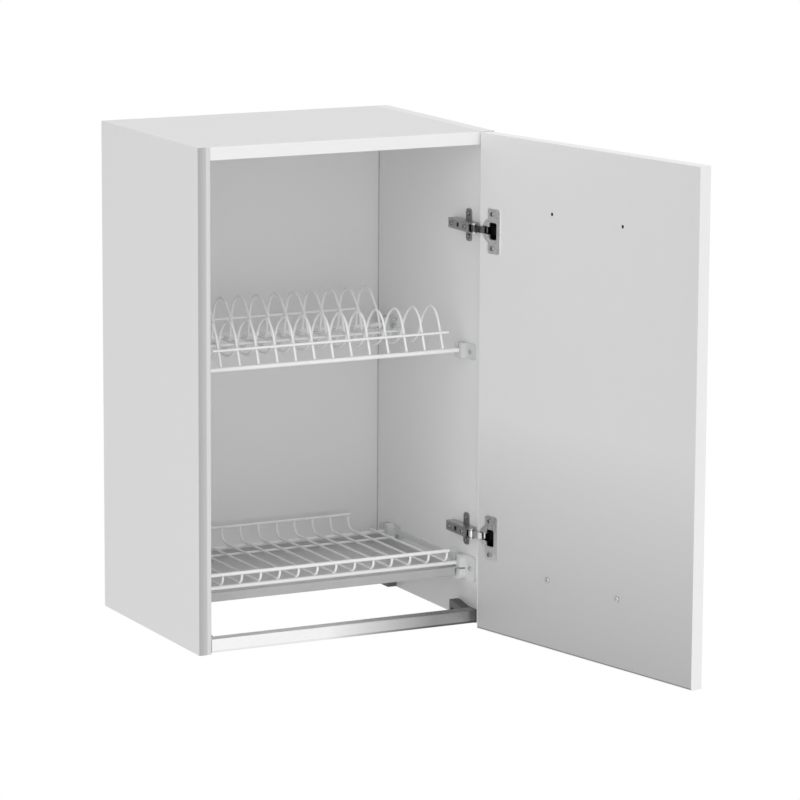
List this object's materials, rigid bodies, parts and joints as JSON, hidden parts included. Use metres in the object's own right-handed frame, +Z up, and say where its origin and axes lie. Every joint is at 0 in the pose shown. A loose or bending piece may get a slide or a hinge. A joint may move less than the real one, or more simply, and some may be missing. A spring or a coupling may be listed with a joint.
{
  "type": "dish drainer cabinet",
  "caption": "White wall cabinet with one side-hinged door, an upper wire plate rack, a lower wire glass rack and a pull-out drip tray over an open bottom.",
  "frame": {"origin": "on the wall plane, midway between the two hanging eyes", "axes": "+X to the right seen from the front, +Y into the wall, +Z up"},
  "size_m": [0.5361, 0.7728, 0.704],
  "materials": {
    "white_board": "white melamine-faced chipboard, satin",
    "white_back": "white lacquered hardboard, satin",
    "white_edge": "white plastic edge strip, semi-gloss",
    "white_wire": "white plastic-coated steel wire, semi-gloss",
    "grey_plastic": "light grey translucent plastic",
    "dark_plastic": "dark grey moulded plastic",
    "aluminium": "brushed anodised aluminium",
    "nickel_steel": "nickel-plated pressed steel",
    "zinc_steel": "zinc-plated steel",
    "cast_zinc": "die-cast zinc alloy",
    "handle_metal": "brushed steel, satin",
    "beech": "plain beech"
  },
  "bodies": {
    "carcass": {"left_side_panel": "white_board", "right_side_panel": "white_board", "top_panel": "white_board", "back_panel": "white_back", "left_edge_band": "white_edge", "right_edge_band": "white_edge", "top_edge_band": "white_edge", "wood_dowels": "beech", "cam_bolts": "zinc_steel", "cam_locks": "cast_zinc", "left_hanger_plate": "zinc_steel", "right_hanger_plate": "zinc_steel", "hanger_screws": "zinc_steel", "front_rail": "aluminium", "rear_rail": "aluminium", "rail_bracket_screws": "zinc_steel", "holder_screws": "zinc_steel", "front_rail_bracket_right": "dark_plastic", "front_rail_bracket_left": "dark_plastic", "rear_rail_bracket_right": "dark_plastic", "rear_rail_bracket_left": "dark_plastic", "mounting_plate_screws": "zinc_steel", "arm_screws": "nickel_steel", "arm_pins": "nickel_steel", "hinge_arm_upper": "nickel_steel", "hinge_arm_lower": "nickel_steel", "mounting_plate_upper": "nickel_steel", "mounting_plate_lower": "nickel_steel", "plate_rack_holder_front_left": "grey_plastic", "plate_rack_holder_front_right": "grey_plastic", "plate_rack_holder_rear_left": "grey_plastic", "plate_rack_holder_rear_right": "grey_plastic", "glass_rack_holder_front_left": "grey_plastic", "glass_rack_holder_front_right": "grey_plastic", "glass_rack_holder_rear_left": "grey_plastic", "glass_rack_holder_rear_right": "grey_plastic"},
    "hinge_links": {"hinge_link_upper": "nickel_steel", "hinge_link_lower": "nickel_steel"},
    "door": {"door_panel": "white_board", "door_edge_band": "white_edge", "handle": "handle_metal", "handle_screws": "zinc_steel", "cup_screws": "zinc_steel", "cup_pins": "nickel_steel", "hinge_cup_upper": "nickel_steel", "hinge_cup_lower": "nickel_steel"},
    "plate_rack": {"plate_rack_front_rail": "white_wire", "plate_rack_rear_rail": "white_wire", "plate_rack_dividers": "white_wire", "plate_rack_rear_hoops": "white_wire", "plate_rack_front_tie": "white_wire", "plate_rack_middle_tie": "white_wire", "plate_rack_rear_tie": "white_wire"},
    "glass_rack": {"glass_rack_front_rail": "white_wire", "glass_rack_rear_rail": "white_wire", "glass_rack_front_lip": "white_wire", "glass_rack_rear_lip": "white_wire", "glass_rack_floor_wires": "white_wire", "glass_rack_ties": "white_wire"},
    "drip_tray": {"drip_tray": "grey_plastic"}
  },
  "joints": [
    {"name": "link_swing", "type": "hinge", "parent": "carcass", "child": "hinge_links", "pos_m": [0.196, -0.326, -0.3], "axis": [0, 0, 1], "range_deg": [-1.9, 24.1]},
    {"name": "door_swing", "type": "hinge", "parent": "hinge_links", "child": "door", "pos_m": [0.20756, -0.34428, -0.3], "axis": [0, 0, 1], "range_deg": [-126, 9.88]},
    {"name": "plate_rack_lift", "type": "slide", "parent": "carcass", "child": "plate_rack", "axis": [0, 0, 1], "range_m": [0, 0.06]},
    {"name": "glass_rack_lift", "type": "slide", "parent": "carcass", "child": "glass_rack", "axis": [0, 0, 1], "range_m": [0, 0.035]},
    {"name": "drip_tray_slide", "type": "slide", "parent": "carcass", "child": "drip_tray", "axis": [0, -1, 0], "range_m": [0, 0.038]}
  ],
  "couplings": [
    {"joint": "link_swing", "follows": "door_swing", "ratio": -0.19048}
  ]
}
